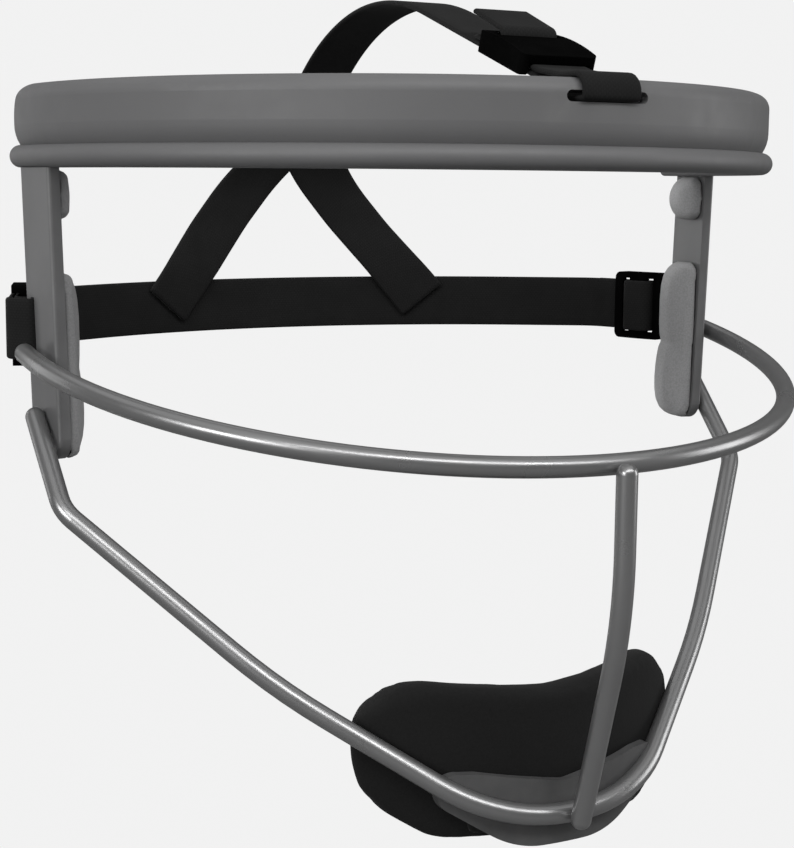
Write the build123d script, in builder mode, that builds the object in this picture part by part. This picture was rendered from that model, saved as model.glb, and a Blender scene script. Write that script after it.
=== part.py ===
from build123d import *
import math
import os

# A fielder's face guard: a moulded brow band, a welded steel rod cage on two side arms,
# foam pads, and a harness of webbing held by three slide buckles.
# The guard faces -Y, +X is to the right as one faces it, and z = 0 is the brow bead's middle.
# Left and right are as one faces the guard.

os.makedirs("parts", exist_ok=True)

# Stock sizes and clearances
rod_diameter = 4.8
rod_radius = rod_diameter / 2
webbing_width = 15.0
webbing_thickness = 1.3
layer_gap = 0.1
layer_pitch = webbing_thickness + layer_gap
running_gap = 0.3
overrun = 3.0

# Brow band, seen from above: one front arc and two flatter side arcs
band_half_width = 99.6
front_inset = 7.6
widest_behind = 15.0
band_front_y = -87.0
band_end_ahead = 0.5
band_thickness = 7.0
liner_thickness = 4.0
band_reach = 2 * band_half_width
front_radius = band_half_width - front_inset
front_centre_y = band_front_y + front_radius
band_widest_y = front_centre_y + widest_behind
band_end_y = band_widest_y - band_end_ahead
side_radius = (band_half_width**2 + widest_behind**2 - front_radius**2) / (2 * front_inset)
side_centre_x = band_half_width - side_radius
front_half_angle = math.degrees(math.atan2(-side_centre_x, widest_behind))

# Brow band, in section
band_top_z = 17.1
bead_radius = 2.7
bead_inset = 1.4
cove_top_z = 7.5
band_top_round = 3.6
band_top_trim = 0.1
band_inner_round = 1.8
band_corner_round = 8.0
brow_rod_diameter = 3.2
liner_bottom_z = -0.6
liner_top_z = 15.4
liner_round = 1.4
strap_slot_length = 21.0
strap_slot_height = 2.5
strap_slot_z = 13.1

# Side arms
arm_inset = 2.1
arm_front_x = band_half_width - arm_inset
arm_width = 16.0
arm_thickness = 3.0
arm_yaw = 7.5
arm_lean = 1.7
arm_bottom_z = -72.6
arm_corner_round = 5.5
arm_edge_round = 0.9
tang_thickness = 1.3
tang_margin = 2.0
tang_top_z = 11.0
arm_slot_width = 2.1
arm_slot_behind = 2.8

# Pads on the arms
fastener_thickness = 2.0
fastener_width = 8.4
fastener_inset = 1.6
pad_width = 14.6
pad_inset = 0.7
pad_side_height = 0.6
pad_end_height = 0.9
temple_top_z = -3.4
temple_bottom_z = -15.2
temple_crest = 2.4
temple_thickness = 2.6
cheek_top_z = -27.6
cheek_waist_z = -48.2
cheek_bottom_z = -73.0
cheek_crest = 4.2
cheek_thickness = 4.4
cheek_waist_thickness = 3.3

# Cage rods
upper_bar_outset = 3.9
upper_bar_radius = arm_front_x + upper_bar_outset
upper_bar_centre_y = 7.0
upper_bar_centre_z = -47.0
upper_bar_tilt = 10.6
upper_bar_end_y = 7.9
elbow_outset = 0.9
elbow_x = arm_front_x + elbow_outset
elbow_y = -10.6
elbow_z = -82.2
elbow_round = 11.0
weld_run_top_y = 8.6
weld_run_top_z = -62.4
jaw_inset = 37.5
jaw_x = arm_front_x - jaw_inset
jaw_y = -46.9
jaw_z = -120.4
jaw_round = 170.0
chin_x = 18.2
chin_y = -78.6
chin_z = -149.0
chin_round = 40.0
centre_bar_top_z = -67.2
centre_bar_bend_z = -100.0
centre_bar_bend_round = 110.0
centre_bar_overhang = 0.4
centre_bar_bend_share = 0.98
weld_depth = 0.25

# Chin plate and chin pad
plate_radius = 65.8
plate_thickness = 2.2
plate_half_width = 30.0
plate_top_z = -138.6
plate_dip_z = -142.2
plate_end_z = -146.0
plate_bottom_z = -157.0
plate_corner_round = 4.4
plate_toe_round = 24.0
chin_fastener_thickness = 1.6
chin_fastener_half_width = 22.0
chin_fastener_top_z = -144.5
chin_fastener_bottom_z = -153.5
chin_pad_thickness = 8.5
chin_pad_half_width = 46.0
chin_pad_lobe_z = -117.5
chin_pad_dip_z = -121.0
chin_pad_side_z = -145.0
chin_pad_lower_half_width = 28.0
chin_pad_bottom_z = -156.0
chin_pad_lobe_round = 17.0
chin_pad_side_round = 14.0
chin_pad_edge_round = 2.6
chin_pad_wrap_share = 0.74
plate_crest_share = 0.72
plate_toe_share = 0.42

# Rear strap, seen from above
strap_z = -41.5
back_radius = 140.0
back_half_angle = 28.90993
run_front_outset = 1.8
run_front_x = arm_front_x + run_front_outset
run_front_y = 22.0
run_angle = 18.0
run_length = 28.5
run_corner_round = 10.0
run_turn_back = 3.0
run_turn_round = 3.0
inner_turn_behind = 1.5
slot_turn_round = 1.1
bulge_outset = 5.6
bulge_x = arm_front_x + bulge_outset
bulge_y = 18.3
bulge_round = 3.8
outer_turn_back = 1.5
loop_tail = 27.0

# Strap legs and top strap, seen from the side
leg_splay = 39.5
leg_apex_z = 9.5
leg_length = 65.5
leg_swell = 3.0
leg_swell_start_z = -31.5
leg_swell_full_z = -18.0
leg_swell_round = 20.0
leg_bend_z = -4.1
leg_bend_round = 16.0
leg_pitch = 46.0
leg_foot_z = -52.0
leg_head_z = 17.0
leg_sweep = 25.0
top_strap_end_z = 3.0
top_run_y = -48.0
top_run_z = 25.2
top_run_pitch = 19.0
crown_round = 75.0
top_run_front_y = -68.5
slot_inside_behind = 12.8
slot_inside_y = band_front_y + slot_inside_behind
slot_turn_ahead = 0.9
slot_turn_y = band_front_y - slot_turn_ahead
slot_inner_round = 2.0
slot_lip_round = 0.8
band_over_z = 17.95
band_over_round = 3.9
band_over_behind = 9.0
band_over_rear_y = band_front_y + band_over_behind
band_over_blend = 6.0
top_layer_end = 16.0

# Slide buckles
top_buckle_length = 21.0
side_buckle_length = 17.5
buckle_width = 20.0
buckle_window = 16.4
buckle_bar_thickness = 1.8
buckle_corner_round = 2.0
buckle_rail_round = 1.0
side_buckle_arch = 0.7
side_buckle_front = 0.6
side_rail_depth = 1.9
side_window_near_share = 0.34
side_window_far_share = 0.64
bar_turn_height = 3.7
bar_turn_foot = 0.2
bar_turn_round = 1.5
top_buckle_y = -57.6
top_buckle_arch = 0.9
top_rail_depth = 2.6
top_window_near_share = 0.3
top_window_far_share = 0.56
tail_foot = 0.45
tail_rise = 3.8
tail_rise_round = 1.6
tail_end_s = 18.5
tail_end = 4.5


def on_side_arc(offset, y):
    """Angle on the right side arc, moved outward by offset, where it reaches this y."""
    return math.degrees(math.asin((y - band_widest_y) / (side_radius + offset)))


def brow_path(offset, end_y):
    """The plan of the brow from the left end to the right end, moved outward by offset."""
    end = on_side_arc(offset, end_y)
    joint = -90 + front_half_angle
    with BuildLine() as path:
        CenterArc((-side_centre_x, band_widest_y), side_radius + offset, 180 - end, end - joint)
        CenterArc((0, front_centre_y), front_radius + offset, -180 - joint, 2 * front_half_angle)
        CenterArc((side_centre_x, band_widest_y), side_radius + offset, joint, end - joint)
    return path.wires()[0]


def section_plane(path):
    """A plane square to the start of a brow path: local x points outward and y up."""
    ahead = path % 0
    return Plane(origin=path @ 0, x_dir=ahead.cross(Vector(0, 0, 1)), z_dir=-ahead)


def arm_frame(depth):
    """A plane on the right arm, this far in from its outer face: x runs back along the
    arm's width, y runs up it and z points out of the guard."""
    yaw = math.radians(arm_yaw)
    lean = math.radians(arm_lean)
    back = Vector(math.sin(yaw), math.cos(yaw), 0)
    out = Vector(
        math.cos(lean) * math.cos(yaw), -math.cos(lean) * math.sin(yaw), -math.sin(lean)
    )
    return Plane(origin=Vector(arm_front_x, 0, 0) - out * depth, x_dir=back, z_dir=out)


def rod(path_points, radii, clearance=0):
    """A round-ended rod along straight runs joined by tangent arcs."""
    with BuildPart() as bar:
        with BuildLine() as line:
            FilletPolyline(*path_points, radius=radii)
        with BuildSketch(Plane(origin=line.line @ 0, z_dir=line.line % 0)):
            Circle(rod_radius + clearance)
        sweep(path=line.line)
        with Locations(line.line @ 0, line.line @ 1):
            Sphere(rod_radius + clearance)
    return bar.part


def outer_rim(arm):
    """The edges of the arm's outer face, without the one under the brow bead."""
    face = arm_frame(0)

    def on_rim(edge):
        place = face.to_local_coords(edge.center())
        return abs(place.Z) < layer_gap and place.Y < -bead_radius - layer_gap

    return arm.edges().filter_by(on_rim)


# Steel side arms, with a thin tang that the brow band is moulded round
slot_centre = arm_width - arm_slot_behind - arm_slot_width / 2
with BuildPart() as right_arm:
    with BuildSketch(arm_frame(0)) as arm_outline:
        with Locations((arm_width / 2, (arm_bottom_z - bead_radius) / 2)):
            Rectangle(arm_width, -arm_bottom_z - bead_radius)
        fillet(arm_outline.vertices().group_by(Axis.Y)[0], radius=arm_corner_round)
    extrude(amount=-arm_thickness)
    fillet(outer_rim(right_arm), radius=arm_edge_round)
    with BuildSketch(arm_frame(arm_thickness)):
        with Locations((arm_width / 2, (tang_top_z - bead_radius) / 2)):
            Rectangle(arm_width - 2 * tang_margin, tang_top_z + bead_radius)
    extrude(amount=tang_thickness)
    with BuildSketch(arm_frame(0)):
        with Locations((slot_centre, strap_z)):
            Rectangle(arm_slot_width, webbing_width + 2 * running_gap)
    extrude(amount=-arm_thickness, mode=Mode.SUBTRACT)
right_arm.part.label = "right_arm"

with BuildPart() as left_arm:
    mirror(right_arm.part, about=Plane.YZ)
left_arm.part.label = "left_arm"

# Steel rod inside the brow bead, butted on the arms' tangs
with BuildPart() as brow_rod:
    brow_rod_path = brow_path(-bead_inset, 0)
    with BuildSketch(section_plane(brow_rod_path)):
        Circle(brow_rod_diameter / 2)
    sweep(path=brow_rod_path)
    add(right_arm.part, mode=Mode.SUBTRACT)
    add(left_arm.part, mode=Mode.SUBTRACT)
brow_rod.part.label = "brow_rod"

# Moulded brow band: upright wall, cove and bead, with the strap slot near its top edge
with BuildPart() as headband_shell:
    band_path = brow_path(0, band_end_y + overrun)
    with BuildSketch(section_plane(band_path)):
        with BuildLine():
            FilletPolyline(
                (0, cove_top_z),
                (0, band_top_z + band_top_trim),
                (-band_thickness, band_top_z + band_top_trim),
                (-band_thickness, -bead_radius),
                (-bead_inset, -bead_radius),
                radius=(band_top_round, band_inner_round, band_inner_round),
            )
            bead_crest = (-bead_inset, bead_radius)
            ThreePointArc(
                (-bead_inset, -bead_radius), (-bead_inset + bead_radius, 0), bead_crest
            )
            TangentArc((0, cove_top_z), bead_crest, tangent=(0, -1))
        make_face()
    sweep(path=band_path)
    with BuildSketch(Plane.YZ) as band_side:
        with Locations((band_end_y - band_reach / 2, band_top_z - band_reach / 2)):
            Rectangle(band_reach, band_reach)
        fillet(
            band_side.vertices().group_by(Axis.Y)[-1].sort_by(Axis.X)[-1:],
            radius=band_corner_round,
        )
    extrude(amount=band_reach, both=True, mode=Mode.INTERSECT)
    with BuildSketch(Plane.XZ):
        with Locations((0, strap_slot_z)):
            SlotOverall(strap_slot_length, strap_slot_height)
    extrude(amount=-band_front_y + overrun, mode=Mode.SUBTRACT)
    add(brow_rod.part, mode=Mode.SUBTRACT)
    add(right_arm.part, mode=Mode.SUBTRACT)
    add(left_arm.part, mode=Mode.SUBTRACT)
headband_shell.part.label = "headband_shell"


# Foam liner inside the brow band
with BuildPart() as headband_liner:
    liner_path = brow_path(-band_thickness, band_end_y - band_corner_round)
    with BuildSketch(section_plane(liner_path)) as liner_section:
        with Locations((-liner_thickness / 2, (liner_top_z + liner_bottom_z) / 2)):
            Rectangle(liner_thickness, liner_top_z - liner_bottom_z)
        fillet(liner_section.vertices().group_by(Axis.X)[0], radius=liner_round)
    sweep(path=liner_path)
    with BuildSketch(Plane.XZ):
        with Locations((0, strap_slot_z)):
            SlotOverall(strap_slot_length, strap_slot_height)
    extrude(amount=-band_front_y + overrun, mode=Mode.SUBTRACT)
headband_liner.part.label = "headband_liner"


def pad_plane(depth):
    """A plane square to the arm's width at the front of its pads: local x points into the
    guard from this depth and y runs up the arm."""
    face = arm_frame(depth)
    front = face.from_local_coords(Vector(pad_inset, 0, 0))
    return Plane(origin=front, x_dir=-face.z_dir, z_dir=face.x_dir)


def crown(thickness):
    """The space under a crown across the pads' width: low sides rising to this thickness."""
    base = arm_frame(arm_thickness + fastener_thickness)
    side = pad_inset + pad_width
    with BuildPart() as space:
        with BuildSketch(Plane(origin=base.origin, x_dir=base.x_dir, z_dir=base.y_dir)):
            with BuildLine():
                ThreePointArc(
                    (pad_inset, pad_side_height),
                    ((pad_inset + side) / 2, thickness),
                    (side, pad_side_height),
                )
                Polyline(
                    (side, pad_side_height), (side, 0), (pad_inset, 0), (pad_inset, pad_side_height)
                )
            make_face()
        extrude(amount=band_reach, both=True)
    return space.part


# Foam pads on the arms: one lump at the temple and a two-lobed pad at the cheek
pad_base = arm_thickness + fastener_thickness
with BuildPart() as right_temple_pad:
    with BuildSketch(pad_plane(pad_base)):
        with BuildLine():
            temple_middle = (temple_top_z + temple_bottom_z) / 2
            temple_top = (pad_end_height, temple_top_z)
            temple_bottom = (pad_end_height, temple_bottom_z)
            ThreePointArc(temple_top, (temple_crest, temple_middle), temple_bottom)
            Polyline(temple_bottom, (0, temple_bottom_z), (0, temple_top_z), temple_top)
        make_face()
    extrude(amount=pad_width)
    add(crown(temple_thickness), mode=Mode.INTERSECT)
right_temple_pad.part.label = "right_temple_pad"

with BuildPart() as right_cheek_pad:
    with BuildSketch(pad_plane(pad_base)):
        with BuildLine():
            upper_lobe = (cheek_top_z + cheek_waist_z) / 2
            lower_lobe = (cheek_waist_z + cheek_bottom_z) / 2
            waist = (cheek_waist_thickness, cheek_waist_z)
            cheek_top = (pad_end_height, cheek_top_z)
            cheek_bottom = (pad_end_height, cheek_bottom_z)
            ThreePointArc(cheek_top, (cheek_crest, upper_lobe), waist)
            ThreePointArc(waist, (cheek_crest, lower_lobe), cheek_bottom)
            Polyline(cheek_bottom, (0, cheek_bottom_z), (0, cheek_top_z), cheek_top)
        make_face()
    extrude(amount=pad_width)
    add(crown(cheek_thickness), mode=Mode.INTERSECT)
right_cheek_pad.part.label = "right_cheek_pad"

# Hook strips that hold the pads on the arm, thick enough to clear the webbing behind them
with BuildPart() as right_hook_strips:
    with BuildSketch(arm_frame(arm_thickness)):
        for strip_top, strip_bottom in (
            (temple_top_z, temple_bottom_z),
            (cheek_top_z, cheek_bottom_z),
        ):
            middle = (strip_top + strip_bottom) / 2
            with Locations((pad_inset + fastener_inset + fastener_width / 2, middle)):
                Rectangle(fastener_width, strip_top - strip_bottom - 2 * fastener_inset)
    extrude(amount=-fastener_thickness)
right_hook_strips.part.label = "right_hook_strips"

with BuildPart() as left_temple_pad:
    mirror(right_temple_pad.part, about=Plane.YZ)
left_temple_pad.part.label = "left_temple_pad"

with BuildPart() as left_cheek_pad:
    mirror(right_cheek_pad.part, about=Plane.YZ)
left_cheek_pad.part.label = "left_cheek_pad"

with BuildPart() as left_hook_strips:
    mirror(right_hook_strips.part, about=Plane.YZ)
left_hook_strips.part.label = "left_hook_strips"

# Upper cage bar: one arc in a tilted plane, its round ends welded on the arms
tilt = math.radians(upper_bar_tilt)
upper_bar_plane = Plane(
    origin=(0, upper_bar_centre_y, upper_bar_centre_z),
    x_dir=(1, 0, 0),
    z_dir=(0, -math.sin(tilt), math.cos(tilt)),
)
upper_bar_end = math.degrees(
    math.asin((upper_bar_end_y - upper_bar_centre_y) / (upper_bar_radius * math.cos(tilt)))
)
with BuildPart() as upper_bar:
    with BuildLine(upper_bar_plane) as upper_line:
        CenterArc((0, 0), upper_bar_radius, 180 - upper_bar_end, 180 + 2 * upper_bar_end)
    with BuildSketch(Plane(origin=upper_line.line @ 0, z_dir=upper_line.line % 0)):
        Circle(rod_radius)
    sweep(path=upper_line.line)
    with Locations(upper_line.line @ 0, upper_line.line @ 1):
        Sphere(rod_radius)
    add(right_arm.part, mode=Mode.SUBTRACT)
    add(left_arm.part, mode=Mode.SUBTRACT)
upper_bar.part.label = "upper_bar"


def on_arm_face(y, z, lift):
    """The point beside the right arm at this y and z, lifted off its outer face."""
    face = arm_frame(-lift)
    across = face.z_dir
    x = face.origin.X - (across.Y * (y - face.origin.Y) + across.Z * (z - face.origin.Z)) / across.X
    return Vector(x, y, z)


# Lower cage bar: up each arm, a tight elbow, a long run down the jaw, and round the chin
with BuildPart() as lower_bar:
    weld_lift = rod_radius - weld_depth
    right_half = [
        on_arm_face(weld_run_top_y, weld_run_top_z, weld_lift),
        Vector(elbow_x, elbow_y, elbow_z),
        Vector(jaw_x, jaw_y, jaw_z),
        Vector(chin_x, chin_y, chin_z),
    ]
    left_half = [Vector(-p.X, p.Y, p.Z) for p in reversed(right_half)]
    bends = (elbow_round, jaw_round, chin_round, chin_round, jaw_round, elbow_round)
    add(rod(right_half + left_half, bends))
    add(right_arm.part, mode=Mode.SUBTRACT)
    add(left_arm.part, mode=Mode.SUBTRACT)
lower_bar.part.label = "lower_bar"

# Centre bar, welded on the front of the other two
with BuildPart() as centre_bar:
    upper_front = upper_bar_centre_y - upper_bar_radius * math.cos(tilt)
    bar_y = upper_front - rod_diameter + weld_depth
    chin_front = chin_y - rod_diameter + weld_depth
    slope = (chin_front - bar_y) / (chin_z - centre_bar_bend_z)
    tip_z = chin_z - centre_bar_overhang
    bar_points = [
        Vector(0, bar_y, centre_bar_top_z),
        Vector(0, bar_y, centre_bar_bend_z),
        Vector(0, bar_y + slope * (tip_z - centre_bar_bend_z), tip_z),
    ]
    bar_straight = centre_bar_bend_share * (centre_bar_top_z - centre_bar_bend_z)
    bend_limit = bar_straight / math.tan(math.atan(abs(slope)) / 2)
    add(rod(bar_points, [min(centre_bar_bend_round, bend_limit)]))
    add(upper_bar.part, mode=Mode.SUBTRACT)
    add(lower_bar.part, mode=Mode.SUBTRACT)
centre_bar.part.label = "centre_bar"


def curved_sheet(front_y, radius, thickness, bottom, top):
    """A vertical sheet bent round the chin: its front face has this radius and reaches
    front_y at the middle."""
    with BuildPart() as sheet:
        with BuildSketch(Plane.XY.offset(bottom)):
            with Locations((0, front_y + radius)):
                Circle(radius)
                Circle(radius - thickness, mode=Mode.SUBTRACT)
            with Locations((0, front_y + radius + radius)):
                Rectangle(2 * radius + overrun, 2 * radius, mode=Mode.SUBTRACT)
        extrude(amount=top - bottom)
    return sheet.part


# Chin plate behind the lower bar
plate_front_y = chin_y + rod_radius - weld_depth
with BuildPart() as chin_plate:
    add(
        curved_sheet(
            plate_front_y, plate_radius, plate_thickness,
            plate_bottom_z - overrun, plate_top_z + overrun,
        )
    )
    with BuildSketch(Plane.XZ) as plate_outline:
        with BuildLine():
            Polyline(
                (0, plate_dip_z),
                (plate_half_width * plate_crest_share, plate_top_z),
                (plate_half_width, plate_top_z),
                (plate_half_width, plate_end_z),
                (plate_half_width * plate_toe_share, plate_bottom_z),
                (-plate_half_width * plate_toe_share, plate_bottom_z),
                (-plate_half_width, plate_end_z),
                (-plate_half_width, plate_top_z),
                (-plate_half_width * plate_crest_share, plate_top_z),
                (0, plate_dip_z),
            )
        make_face()
        toes = plate_outline.vertices().group_by(Axis.Y)[0]
        fillet(plate_outline.vertices() - toes, radius=plate_corner_round)
        fillet(plate_outline.vertices().group_by(Axis.Y)[0], radius=plate_toe_round)
    extrude(amount=-chin_y + plate_radius, mode=Mode.INTERSECT)
    add(lower_bar.part, mode=Mode.SUBTRACT)
chin_plate.part.label = "chin_plate"

# Hook patch on the back of the chin plate
patch_front_y = plate_front_y + plate_thickness
with BuildPart() as chin_hook_patch:
    add(
        curved_sheet(
            patch_front_y, plate_radius - plate_thickness, chin_fastener_thickness,
            chin_fastener_bottom_z, chin_fastener_top_z,
        )
    )
    with BuildSketch(Plane.XZ):
        with Locations((0, (chin_fastener_top_z + chin_fastener_bottom_z) / 2)):
            RectangleRounded(
                2 * chin_fastener_half_width,
                chin_fastener_top_z - chin_fastener_bottom_z,
                fastener_inset,
            )
    extrude(amount=-chin_y + plate_radius, mode=Mode.INTERSECT)
chin_hook_patch.part.label = "chin_hook_patch"

# Chin pad: a curved foam cup with a raised lobe at each side
pad_front_y = patch_front_y + chin_fastener_thickness
pad_radius = plate_radius - plate_thickness - chin_fastener_thickness
with BuildPart() as chin_pad:
    add(
        curved_sheet(
            pad_front_y, pad_radius, chin_pad_thickness,
            chin_pad_bottom_z - overrun, chin_pad_lobe_z + overrun,
        )
    )
    with BuildSketch(Plane.XZ) as chin_outline:
        with BuildLine():
            Polyline(
                (0, chin_pad_dip_z),
                (chin_pad_half_width, chin_pad_lobe_z),
                (chin_pad_half_width, chin_pad_side_z),
                (chin_pad_lower_half_width, chin_pad_bottom_z),
                (-chin_pad_lower_half_width, chin_pad_bottom_z),
                (-chin_pad_half_width, chin_pad_side_z),
                (-chin_pad_half_width, chin_pad_lobe_z),
                (0, chin_pad_dip_z),
            )
        make_face()
        lobes = chin_outline.vertices().group_by(Axis.Y)[-1]
        sides = chin_outline.vertices() - lobes
        fillet(lobes, radius=chin_pad_lobe_round)
        fillet(
            chin_outline.vertices().filter_by(
                lambda v: any(abs(v.X - s.X) + abs(v.Y - s.Y) < layer_gap for s in sides)
            ),
            radius=chin_pad_side_round,
        )
    extrude(amount=-chin_y + plate_radius, mode=Mode.INTERSECT)
    with BuildSketch(Plane.XY.offset(chin_pad_bottom_z - overrun)):
        with BuildLine():
            wrap_y = pad_front_y + pad_radius
            reach_y = wrap_y - pad_radius / math.tan(math.asin(chin_pad_wrap_share))
            Polyline(
                (0, wrap_y), (pad_radius, reach_y), (pad_radius, reach_y - band_reach),
                (-pad_radius, reach_y - band_reach), (-pad_radius, reach_y), (0, wrap_y),
            )
        make_face()
    extrude(amount=chin_pad_lobe_z - chin_pad_bottom_z + 2 * overrun, mode=Mode.INTERSECT)
    fillet(chin_pad.edges(), radius=chin_pad_edge_round)
    add(rod(right_half + left_half, bends, running_gap), mode=Mode.SUBTRACT)
chin_pad.part.label = "chin_pad"


# Rear strap: round the back of the head, through both arm slots and back on itself
run = math.radians(run_angle)
run_back = Vector(-math.sin(run), math.cos(run))
run_out = Vector(math.cos(run), math.sin(run))
run_front = Vector(run_front_x, run_front_y)
run_corner = run_front + run_back * run_length
yaw = math.radians(arm_yaw)
arm_out = Vector(math.cos(yaw), -math.sin(yaw))
arm_back = Vector(math.sin(yaw), math.cos(yaw))
at_slot = arm_frame(0).from_local_coords(Vector(slot_centre, strap_z, 0))
slot_face = Vector(at_slot.X, at_slot.Y)
wrap = running_gap + webbing_thickness / 2
inner_turn = slot_face - arm_out * (arm_thickness + wrap)
behind_bar = arm_width - slot_centre + inner_turn_behind
half_turn = math.radians(back_half_angle)
back_apex_y = run_corner.Y + run_corner.X * math.tan(half_turn)
back_y = back_apex_y - back_radius * (1 / math.cos(half_turn) - 1)
right_half_strap = [
    run_corner,
    run_front - run_back * run_turn_back,
    inner_turn + arm_back * behind_bar,
    inner_turn,
    slot_face + arm_out * wrap,
    Vector(bulge_x, bulge_y),
    run_front + run_out * layer_pitch - run_back * outer_turn_back,
    run_front + run_out * layer_pitch + run_back * loop_tail,
]
left_half_strap = [Vector(-p.X, p.Y) for p in reversed(right_half_strap)]
half_strap_rounds = (
    run_corner_round,
    run_turn_round,
    run_turn_round,
    slot_turn_round,
    slot_turn_round,
    bulge_round,
    run_turn_round,
)
with BuildPart() as rear_strap:
    with BuildSketch(Plane.XY.offset(strap_z - webbing_width / 2)):
        with BuildLine() as rear_line:
            FilletPolyline(
                *left_half_strap,
                Vector(0, back_apex_y),
                *right_half_strap,
                radius=(*reversed(half_strap_rounds), back_radius, *half_strap_rounds),
            )
        trace(rear_line.line, line_width=webbing_thickness)
    extrude(amount=webbing_width)
rear_strap.part.label = "rear_strap"

# Strap legs: two splayed straps up the back of the head, mitred where they meet
splay = math.radians(leg_splay)
pitch = math.radians(leg_pitch)
leg_y = back_y - layer_pitch
leg_bend_y = leg_y + leg_swell
leg_head_y = leg_bend_y - (leg_head_z - leg_bend_z) / math.tan(pitch)
with BuildPart() as right_strap_leg:
    with BuildSketch(Plane.YZ):
        with BuildLine() as leg_line:
            FilletPolyline(
                (leg_y, leg_foot_z),
                (leg_y, leg_swell_start_z),
                (leg_bend_y, leg_swell_full_z),
                (leg_bend_y, leg_bend_z),
                (leg_head_y, leg_head_z),
                radius=(leg_swell_round, leg_swell_round, leg_bend_round),
            )
        trace(leg_line.line, line_width=webbing_thickness)
    head_axis = Axis((0, back_y - back_radius, 0), (0, 0, 1))
    revolve(axis=head_axis, revolution_arc=-leg_sweep)
    leg_direction = Plane(
        origin=(0, 0, leg_apex_z), x_dir=(math.sin(splay), 0, -math.cos(splay)), z_dir=(0, -1, 0)
    )
    with BuildSketch(leg_direction):
        Rectangle(2 * leg_length, webbing_width)
    extrude(amount=-band_reach, mode=Mode.INTERSECT)
right_strap_leg.part.label = "right_strap_leg"

with BuildPart() as left_strap_leg:
    mirror(right_strap_leg.part, about=Plane.YZ)
left_strap_leg.part.label = "left_strap_leg"

# Top strap: from the legs over the crown, through the band's slot and back over the band
top_pitch = math.radians(top_run_pitch)
top_slope = math.tan(top_pitch)
leg_slope = math.tan(pitch)
lift_on_legs = layer_pitch / math.cos(pitch)
lift_on_run = layer_pitch / math.cos(top_pitch)
crown_y = (
    (leg_bend_z + leg_slope * leg_bend_y + lift_on_legs - top_run_z + top_slope * top_run_y)
    / (leg_slope + top_slope)
)


def on_top_run(y, lift):
    """The point of the top strap's straight run at this y, this far above its middle."""
    return (y, top_run_z + top_slope * (y - top_run_y) + lift)


strap_end_y = leg_bend_y - (top_strap_end_z - leg_bend_z - lift_on_legs) / leg_slope
blend_y = top_run_y + (band_over_z + layer_pitch - top_run_z - lift_on_run) / top_slope
layer_end_y = top_buckle_y + top_layer_end * math.cos(top_pitch)
with BuildPart() as top_strap:
    with BuildSketch(Plane.YZ):
        with BuildLine() as top_line:
            FilletPolyline(
                (strap_end_y, top_strap_end_z),
                on_top_run(crown_y, 0),
                on_top_run(top_run_front_y, 0),
                (slot_inside_y, strap_slot_z),
                (slot_turn_y, strap_slot_z),
                (slot_turn_y, band_over_z),
                (band_over_rear_y, band_over_z),
                on_top_run(blend_y, lift_on_run),
                on_top_run(layer_end_y, lift_on_run),
                radius=(
                    crown_round,
                    run_turn_round,
                    slot_inner_round,
                    slot_lip_round,
                    band_over_round,
                    band_over_blend,
                    band_over_blend,
                ),
            )
        trace(top_line.line, line_width=webbing_thickness)
    extrude(amount=webbing_width / 2, both=True)
top_strap.part.label = "top_strap"


def side_on(frame):
    """The plane through a buckle's middle, square to its width: x along it and y out."""
    return Plane(origin=frame.origin, x_dir=frame.x_dir, z_dir=-frame.y_dir)


def slide_buckle(frame, length, arch, rail_depth, windows):
    """An arched slide buckle lying on a strap whose surface is this frame: x runs along the
    strap and z out of it. Its rails reach down beside the strap."""
    half = length / 2
    over = running_gap + buckle_bar_thickness
    with BuildPart() as buckle:
        with BuildSketch(side_on(frame)) as profile:
            with BuildLine():
                ThreePointArc((-half, over), (0, over + arch), (half, over))
                Polyline((half, over), (half, -rail_depth), (-half, -rail_depth), (-half, over))
            make_face()
            fillet(profile.vertices().group_by(Axis.Y)[0], radius=buckle_rail_round)
        extrude(amount=buckle_width / 2, both=True)
        with BuildSketch(frame):
            RectangleRounded(length, buckle_width, buckle_corner_round)
        extrude(amount=length, both=True, mode=Mode.INTERSECT)
        with BuildSketch(side_on(frame)):
            with BuildLine():
                ThreePointArc((-half, running_gap), (0, running_gap + arch), (half, running_gap))
                Polyline(
                    (half, running_gap),
                    (half + overrun, running_gap),
                    (half + overrun, -rail_depth - overrun),
                    (-half - overrun, -rail_depth - overrun),
                    (-half - overrun, running_gap),
                    (-half, running_gap),
                )
            make_face()
        extrude(amount=buckle_window / 2, both=True, mode=Mode.SUBTRACT)
        with BuildSketch(frame):
            for near, far in windows:
                with Locations((half * (near + far) / 2, 0)):
                    Rectangle(half * (far - near), buckle_window)
        extrude(amount=length, both=True, mode=Mode.SUBTRACT)
    return buckle.part


def webbing_on(frame, points, radii):
    """A length of webbing drawn side-on in a buckle's frame."""
    with BuildPart() as webbing:
        with BuildSketch(side_on(frame)):
            with BuildLine() as line:
                FilletPolyline(*points, radius=radii)
            trace(line.line, line_width=webbing_thickness)
        extrude(amount=webbing_width / 2, both=True)
    return webbing.part


# Top buckle on the upper side of the top strap, and the strap's free tail that rides on it
top_frame = Plane(
    origin=(
        0,
        *on_top_run(top_buckle_y, (layer_pitch + webbing_thickness / 2) / math.cos(top_pitch)),
    ),
    x_dir=(0, math.cos(top_pitch), math.sin(top_pitch)),
    z_dir=(0, -math.sin(top_pitch), math.cos(top_pitch)),
)
with BuildPart() as top_buckle:
    top_windows = [(top_window_near_share, top_window_far_share)]
    add(
        slide_buckle(
            top_frame, top_buckle_length, top_buckle_arch, top_rail_depth, top_windows
        )
    )
top_buckle.part.label = "top_buckle"

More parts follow.
